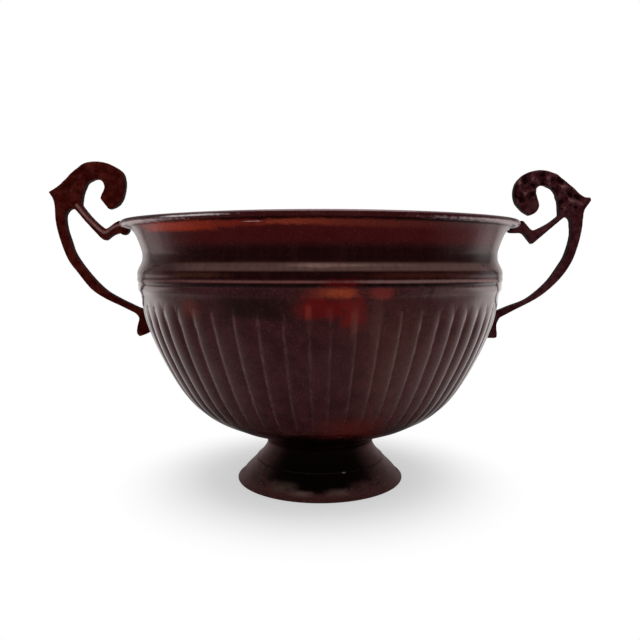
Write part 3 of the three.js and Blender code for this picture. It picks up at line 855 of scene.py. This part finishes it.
def patina(name, coat, shine):
    """Dark maroon brown copper with a grey haze, bare reddish places and rubbed reed edges, and
    painted highlights, reflections and shade in its colour
    """
    made, nodes, shader, place = material(name)
    azimuth, _ = around(nodes, place)
    z = nodes.stored("level")
    cloud = nodes.noise(place, 0.035, 4, 0.55, 0.4)
    mottle = nodes.noise(place, 0.16, 5, 0.6)
    grain = nodes.noise(place, 0.9, 4, 0.65)
    speck = nodes.noise(place, 2.2, 2, 0.5)
    speckle = nodes.mix(0.5, grain, speck)
    streak = nodes.noise(nodes.stretched(place, 1, 1, 0.12), 0.5, 4, 0.6)
    ragged = nodes.mix(0.45, nodes.noise(place, 0.3, 5, 0.65), grain)

    base = nodes.mix(nodes.ramp(mottle, 0.35, 0.68), tone(50, 12, 14), tone(68, 26, 29))
    base = nodes.mix(nodes.ramp(cloud, 0.45, 0.7, 0, 0.5), base, tone(74, 35, 37))
    base = nodes.mix(nodes.ramp(speckle, 0.5, 0.68, 0, 0.6), base, tone(92, 54, 54))
    from_plain = nodes.math("ABSOLUTE", nodes.math("SUBTRACT", azimuth, PLAIN_SIDE))
    plain_side = nodes.ramp(from_plain, *PLAIN_WIDTH, PLAIN_LEAST, 1)
    # Bands of painted highlight and shade, and the neck's and flare's tones
    for low, high, soft, strength, colour in BANDS_OF_TONE_AND_PAINTED_LIGHT:
        inside = nodes.math("MULTIPLY", nodes.ramp(z, low - soft, low + soft),
                            nodes.ramp(z, high - soft, high + soft, 1, 0))
        inside = nodes.math("MULTIPLY", inside, plain_side)
        streaky = nodes.ramp(streak, 0.3, 0.6, 0.75 * strength, strength)
        base = nodes.mix(nodes.math("MULTIPLY", inside, streaky), base, tone(*colour))
    # Rubbed reed edges, lighter toward the sides as a painted highlight
    worn = nodes.math("MULTIPLY", nodes.stored("edge"), nodes.ramp(streak, 0.4, 0.62, 0.2, 1.0))
    sideways = nodes.ramp(nodes.math("ABSOLUTE", azimuth), *HIGHLIGHT_SIDES, 0.4, 1.0)
    worn = nodes.math("MULTIPLY", nodes.math("MULTIPLY", worn, sideways), RUB_AND_HIGHLIGHT)
    base = nodes.mix(worn, base, tone(120, 84, 80))
    base = patched(nodes, base, TONE_PATCHES_AND_PAINTED_LIGHT, azimuth, z, ragged, speckle)
    pale = nodes.math("MULTIPLY", nodes.ramp(speck, 0.72, 0.8), 0.5)
    base = nodes.mix(pale, base, tone(140, 112, 104))

    dull = nodes.ramp(z, *DULL_RISE, 0, DULL_MORE)
    roughness = nodes.math("ADD", nodes.ramp(grain, 0.25, 0.75, 0.1, 0.2), dull)
    fine = nodes.bump(grain, 0.00009, 0.5)
    nodes.fill(shader, Base_Color=base, Metallic=0.25, Roughness=roughness,
               Specular_IOR_Level=shine, Specular_Tint=(0.6, 0.32, 0.32, 1),
               Coat_Weight=coat, Coat_IOR=1.6, Coat_Roughness=0.08,
               Normal=nodes.bump(mottle, 0.0004, 0.35, fine))
    return made


# Painted shade on the foot's front, nearly black, above a lower edge: the edge's heights, how wavy
# it is, how it rises with the square of the degrees, the degrees between which the shade ends and
# how dense it is
FRONT_SHADE_FROM = (3.0, 4.8)
FRONT_SHADE_WAVE = 1.2
FRONT_SHADE_RISE = 0.0022
FRONT_SHADE_SIDES = (34, 62)
FRONT_SHADE = 0.94

# Places on the foot, as on the bowl: painted highlights low on the front, a painted highlight line
# and glint on the seam, and rubbed places behind
FOOT_RUBS_AND_PAINTED_HIGHLIGHTS = [
    ((0, 2.4), (52, 1.7), 0.7, 0.6, (104, 62, 60)),
    ((-27, 5.6), (9, 2), 0.9, 0.75, (108, 88, 76)),
    ((-13, 3.9), (6, 1.1), 0.9, 0.85, (128, 102, 96)),
    ((13, 4.4), (7, 1.3), 0.9, 0.8, (118, 92, 88)),
    ((30, 6.4), (7, 1.6), 0.7, 0.5, (100, 66, 60)),
    # Painted glint and painted highlight line on the seam
    ((20.5, 12.75), (1.5, 0.28), 0.4, 1.0, (225, 218, 214)),
    ((-4, 12.8), (36, 0.2), 0.4, 0.45, (96, 92, 92)),
    ((160, 7), (16, 2.4), 0.7, 0.5, (80, 60, 56)),
    ((250, 6), (12, 2), 0.7, 0.5, (80, 60, 56)),
]


def spun_copper():
    """Darker and glossier brown of the turned foot, with painted shade on its front and painted
    highlights low down and on the seam
    """
    made, nodes, shader, place = material("foot_spun_copper")
    azimuth, z = around(nodes, place)
    mottle = nodes.noise(place, 0.2, 5, 0.6)
    speck = nodes.noise(place, 2.2, 2, 0.5)
    rings = nodes.noise(nodes.stretched(place, 0.05, 0.05, 1.6), 1.0, 4, 0.6)
    grain = nodes.noise(place, 1.2, 4, 0.65)
    base = nodes.mix(nodes.ramp(mottle, 0.35, 0.7), tone(40, 14, 16), tone(66, 32, 33))
    speckle = nodes.mix(0.5, grain, speck)
    base = nodes.mix(nodes.ramp(speckle, 0.46, 0.62, 0, 0.85), base, tone(112, 76, 74))
    # Painted shade: the front of the foot darkened nearly to black
    turn = nodes.math("ABSOLUTE", azimuth)
    rise = nodes.math("MULTIPLY", nodes.math("POWER", turn, 2), FRONT_SHADE_RISE)
    wavy = nodes.math("ADD", z, nodes.ramp(mottle, 0.3, 0.7, -FRONT_SHADE_WAVE, FRONT_SHADE_WAVE))
    shaded_front = nodes.math("MULTIPLY", nodes.ramp(nodes.math("SUBTRACT", wavy, rise), *FRONT_SHADE_FROM),
                       nodes.ramp(turn, *FRONT_SHADE_SIDES, 1, 0))
    base = nodes.mix(nodes.math("MULTIPLY", shaded_front, FRONT_SHADE), base, tone(4, 1, 1))
    ragged = nodes.mix(0.5, mottle, grain)
    base = patched(nodes, base, FOOT_RUBS_AND_PAINTED_HIGHLIGHTS, azimuth, z, ragged, speckle)
    fine = nodes.bump(grain, 0.00016, 0.9)
    nodes.fill(shader, Base_Color=base, Metallic=0.25,
               Roughness=nodes.ramp(grain, 0.3, 0.7, 0.3, 0.5),
               Specular_IOR_Level=0.22, Specular_Tint=(0.9, 0.45, 0.45, 1),
               Normal=nodes.bump(rings, 0.0002, 0.3, fine))
    return made


# Darker and lighter tone of each casting
CAST_TONES = {"left": (tone(62, 12, 9), tone(92, 32, 25)),
              "right": (tone(60, 22, 26), tone(88, 47, 50))}


def cast_metal(name, dark, light):
    """Rough maroon casting, paler where it is rubbed, with painted highlights on its raised relief
    and painted shade in its hollows and on its flanks
    """
    made, nodes, shader, place = material(name)
    mottle = nodes.noise(place, 0.22, 5, 0.6)
    grain = nodes.noise(place, 1.1, 5, 0.7)
    pits = nodes.noise(place, 2.6, 3, 0.6)
    raised = nodes.stored("raised")
    flank = nodes.stored("flank")
    base = nodes.mix(nodes.ramp(mottle, 0.35, 0.7), dark, light)
    # Painted shade in the hollows of the relief
    base = nodes.mix(nodes.ramp(raised, -0.12, -0.55), base, tone(30, 7, 10))
    # Raised relief paler as rubbed metal and as a painted highlight
    rubbed = nodes.math("MULTIPLY", nodes.ramp(raised, 0.2, 0.8),
                        nodes.ramp(grain, 0.42, 0.6, 0.1, 0.9))
    base = nodes.mix(rubbed, base, tone(126, 82, 82))
    # Painted highlight on the crests of the relief
    crest_highlight = nodes.math("MULTIPLY", nodes.ramp(raised, 0.7, 1.15),
                       nodes.ramp(grain, 0.4, 0.55, 0.35, 0.9))
    base = nodes.mix(crest_highlight, base, tone(160, 120, 118))
    base = nodes.mix(nodes.ramp(grain, 0.55, 0.75, 0, 0.4), base, tone(100, 54, 52))
    # Painted shade on the flanks
    base = nodes.mix(nodes.math("MULTIPLY", flank, 0.6), base, tone(28, 5, 5))
    fine = nodes.bump(pits, 0.00012, 0.6)
    nodes.fill(shader, Base_Color=base, Metallic=nodes.ramp(flank, 0.1, 0.7, 0.4, 0.0),
               Roughness=nodes.ramp(grain, 0.3, 0.7, 0.45, 0.62),
               Specular_IOR_Level=0.02, Specular_Tint=(0.3, 0.16, 0.16, 1),
               Normal=nodes.bump(grain, 0.0004, 0.6, fine))
    return made


def plain_metal(name, dark, light, roughness):
    """Dull metal of the fastenings and the wire"""
    made, nodes, shader, place = material(name)
    mottle = nodes.noise(place, 0.5, 4, 0.6)
    grain = nodes.noise(place, 2.5, 3, 0.6)
    base = nodes.mix(nodes.ramp(mottle, 0.35, 0.65), dark, light)
    nodes.fill(shader, Base_Color=base, Metallic=0.85,
               Roughness=nodes.ramp(grain, 0.3, 0.7, roughness, roughness + 0.2),
               Normal=nodes.bump(grain, 0.00004, 0.5))
    return made


def dress(piece, look, slot, *nodes):
    """Gives a piece its material and body, and hides the CAD nodes that it stands for; the slot is
    not used
    """
    piece.data.materials.clear()
    piece.data.materials.append(look)
    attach(piece, "root")
    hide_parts(*nodes)


# Coat and shine of the bowl's glosses, in the order of LOWER, UPPER and MATT
GLOSSES = (("patina_copper", 0.55, 1.0), ("patina_copper_upper", 0.04, 0.45),
           ("patina_copper_crease", 0.0, 0.08))

lower_look, *other_looks = [patina(*gloss) for gloss in GLOSSES]
dress(bowl_sheet, lower_look, "copper_sheet", "bowl")
for look in other_looks:
    bowl_sheet.data.materials.append(look)
bowl_sheet.data.polygons.foreach_set("material_index", bowl_glosses)

foot_look = spun_copper()
dress(stem, foot_look, "foot_copper", "foot_stem")
dress(skirt, foot_look, "foot_copper", "foot_skirt")
for side, piece in handles.items():
    cast_look = cast_metal(f"cast_metal_{side}", *CAST_TONES[side])
    dress(piece, cast_look, "cast_handle", f"handle_{side}")

wire_look = plain_metal("iron_wire_metal", tone(84, 76, 70), tone(120, 108, 100), 0.4)
dress(iron_wire(), wire_look, "iron_wire", "rim_wire")

# The other solids are the fastenings, which stay as they are and get their metal
fastener_look = plain_metal("dull_brass", tone(96, 66, 44), tone(140, 104, 70), 0.32)
REPLACED = ("bowl", "foot_stem", "foot_skirt", "handle_left", "handle_right", "rim_wire")

for name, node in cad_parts.items():
    if name not in REPLACED:
        node.data.materials.clear()
        node.data.materials.append(fastener_look)


# White of the surround as reflections see it: least in front and more behind. It rises between two
# places backward on the floor and in the world, a little sooner on the right, and it is stronger
# near the horizon.
FRONT_LEVEL = 0.075
FLOOR_RISE = (-0.2, 0.34)
WORLD_RISE = (-0.2, 2.1)
RIGHT_MORE = 0.05
HORIZON_HEIGHT = 0.35
HORIZON_MORE = 1.7

# Level of the world's diffuse light
AMBIENT = 0.55

# Floor in metres: its size, its colour, its share of plain white under the urn, the distances
# between which that grows to all of it, and those between which a painted shadow round the urn, seen
# only in reflections, fades to white
FLOOR_SIZE = 12
FLOOR_COLOUR = (0.94, 0.94, 0.935, 1)
FLOOR_WHITE = 0.5
SHADOW_FADE = (0.055, 0.128)
REFLECTED_SHADOW_FADE = (0.05, 0.16)

# Lamp in metres and watts
LAMP_PLACE = (0.12, -0.2, 1.3)
LAMP_AIM = (0, 0, 0.1)
LAMP_SIZE = (1.2, 1.1)
LAMP_POWER = 8

# Camera in metres, degrees below level and millimetres of lens and sensor
CAMERA_PLACE = (0, -0.3871, 0.1266)
CAMERA_CLIP = (0.01, 50)
CAMERA_DOWN = 4.56
CAMERA_LENS = 36
CAMERA_SENSOR = 36


def background_rays(nodes):
    """1 for what sees the background as it is, and 1 for reflections and refractions alone"""
    rays = nodes.add("ShaderNodeLightPath")
    shiny = nodes.math("MAXIMUM", rays.outputs["Is Glossy Ray"],
                       rays.outputs["Is Transmission Ray"])
    return nodes.math("MAXIMUM", rays.outputs["Is Camera Ray"], shiny), shiny


def backward(nodes, parts):
    """How far to the back a place or direction is, and a little how far to the right"""
    right = nodes.math("MULTIPLY", parts.outputs["X"], RIGHT_MORE)
    return nodes.math("ADD", parts.outputs["Y"], right)


def studio_floor():
    """Pale floor that goes over into the white background and keeps the urn's shadow, with a painted
    shadow round the urn in what reflections see
    """
    bpy.ops.mesh.primitive_plane_add(size=FLOOR_SIZE)
    floor = bpy.context.object
    floor.name = "studio_floor"
    made = bpy.data.materials.new("studio_floor")
    made.use_nodes = True
    nodes = Nodes(made.node_tree)
    shader = made.node_tree.nodes["Principled BSDF"]
    nodes.fill(shader, Base_Color=FLOOR_COLOUR, Roughness=0.9, Specular_IOR_Level=0.0)
    white = nodes.add("ShaderNodeEmission")
    blend = nodes.add("ShaderNodeMixShader")
    seen, shiny = background_rays(nodes)
    place = nodes.add("ShaderNodeTexCoord").outputs["Object"]
    length = nodes.add("ShaderNodeVectorMath", operation="LENGTH")
    nodes.put(length.inputs[0], place)
    distance = length.outputs["Value"]
    share = nodes.ramp(distance, *SHADOW_FADE, FLOOR_WHITE, 1.0)
    nodes.put(blend.inputs[0], nodes.math("MULTIPLY", seen, nodes.math("MAXIMUM", share, shiny)))
    parts = nodes.add("ShaderNodeSeparateXYZ")
    nodes.put(parts.inputs[0], place)
    reflected = nodes.ramp(backward(nodes, parts), *FLOOR_RISE, FRONT_LEVEL, 1.0)
    # Painted shadow round the urn, seen only in reflections
    shaded = nodes.ramp(distance, *REFLECTED_SHADOW_FADE, FRONT_LEVEL, 1.0)
    reflected = nodes.math("MULTIPLY", reflected, shaded)
    nodes.put(white.inputs["Strength"], nodes.ramp(shiny, 0, 1, 1.0, reflected))
    nodes.put(blend.inputs[1], shader.outputs[0])
    nodes.put(blend.inputs[2], white.outputs[0])
    nodes.put(made.node_tree.nodes["Material Output"].inputs[0], blend.outputs[0])
    floor.data.materials.append(made)


def surround():
    """White world behind and beside the urn, darker in reflections from the room in front"""
    world = bpy.data.worlds.new("studio")
    bpy.context.scene.world = world
    world.use_nodes = True
    nodes = Nodes(world.node_tree)
    back = world.node_tree.nodes["Background"]
    seen, shiny = background_rays(nodes)
    parts = nodes.add("ShaderNodeSeparateXYZ")
    nodes.put(parts.inputs[0], nodes.add("ShaderNodeTexCoord").outputs["Generated"])
    reflected = nodes.ramp(backward(nodes, parts), *WORLD_RISE, FRONT_LEVEL, 1.0)
    level = nodes.math("ABSOLUTE", parts.outputs["Z"])
    horizon = nodes.ramp(level, 0, HORIZON_HEIGHT, HORIZON_MORE, 1.0)
    reflected = nodes.math("MULTIPLY", reflected, horizon)
    plain = nodes.mix(seen, (AMBIENT, AMBIENT, AMBIENT, 1), (1, 1, 1, 1))
    nodes.fill(back, Color=plain, Strength=nodes.ramp(shiny, 0, 1, 1.0, reflected))


def lamp(name, place, aim, size, power):
    """Soft lamp that looks at a place"""
    data = bpy.data.lights.new(name, "AREA")
    data.shape = "RECTANGLE"
    data.size, data.size_y = size
    data.energy = power
    made = bpy.data.objects.new(name, data)
    bpy.context.scene.collection.objects.link(made)
    made.location = place
    made.rotation_euler = (Vector(aim) - Vector(place)).to_track_quat("-Z", "Y").to_euler()


def camera():
    """The photograph's viewpoint"""
    data = bpy.data.cameras.new("camera")
    data.sensor_width = CAMERA_SENSOR
    data.lens = CAMERA_LENS
    made = bpy.data.objects.new("camera", data)
    bpy.context.scene.collection.objects.link(made)
    made.location = CAMERA_PLACE
    made.rotation_euler = (math.radians(90 - CAMERA_DOWN), 0, 0)
    data.clip_start, data.clip_end = CAMERA_CLIP
    bpy.context.scene.camera = made


studio_floor()
surround()
lamp("lamp_above", LAMP_PLACE, LAMP_AIM, LAMP_SIZE, LAMP_POWER)
camera()
bpy.context.scene.view_settings.view_transform = "Standard"
